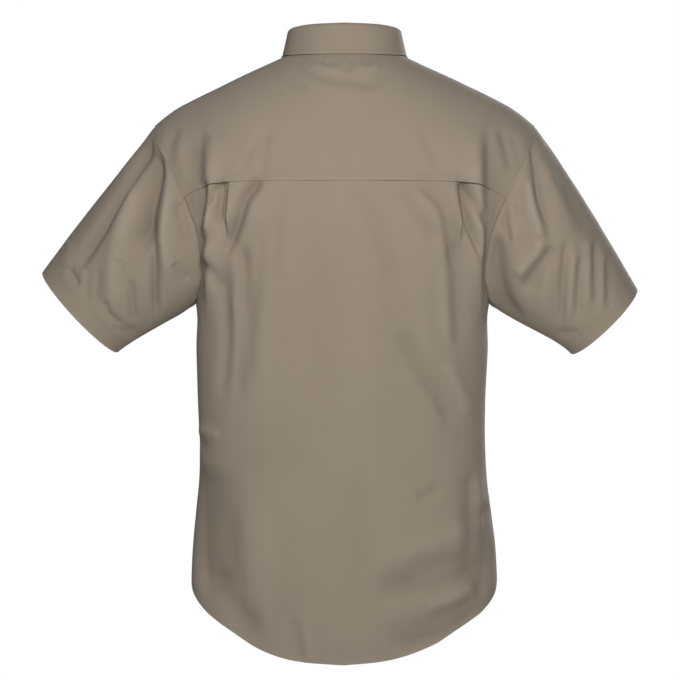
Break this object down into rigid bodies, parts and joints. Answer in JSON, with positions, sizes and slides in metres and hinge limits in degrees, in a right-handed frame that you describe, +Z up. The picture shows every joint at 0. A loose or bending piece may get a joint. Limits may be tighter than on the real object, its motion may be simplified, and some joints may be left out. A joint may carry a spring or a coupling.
{
  "type": "short-sleeve button shirt",
  "caption": "Short-sleeve button shirt in its worn shape, with a turned-down collar, back yoke, side pleats and curved shirt-tail hem.",
  "frame": {"origin": "base of the neck, level with the shoulder points, where the wearer's shoulders carry the shirt", "axes": "+Z up the wearer, -Y out of the shirt's front, +X towards the wearer's left arm"},
  "size_m": [0.7715, 0.2701, 0.8163],
  "materials": {
    "cloth": "plain khaki cotton, fine twill weave, matt",
    "button": "four-hole button, brown, softly polished"
  },
  "bodies": {
    "root": {"back": "cloth", "yoke": "cloth", "front_left": "cloth", "front_right": "cloth", "front_placket": "cloth", "sleeve_left": "cloth", "sleeve_right": "cloth", "collar_stand": "cloth", "collar": "cloth", "button_1": "button", "button_2": "button", "button_3": "button", "button_4": "button", "button_5": "button", "button_6": "button", "button_7": "button"}
  },
  "joints": []
}
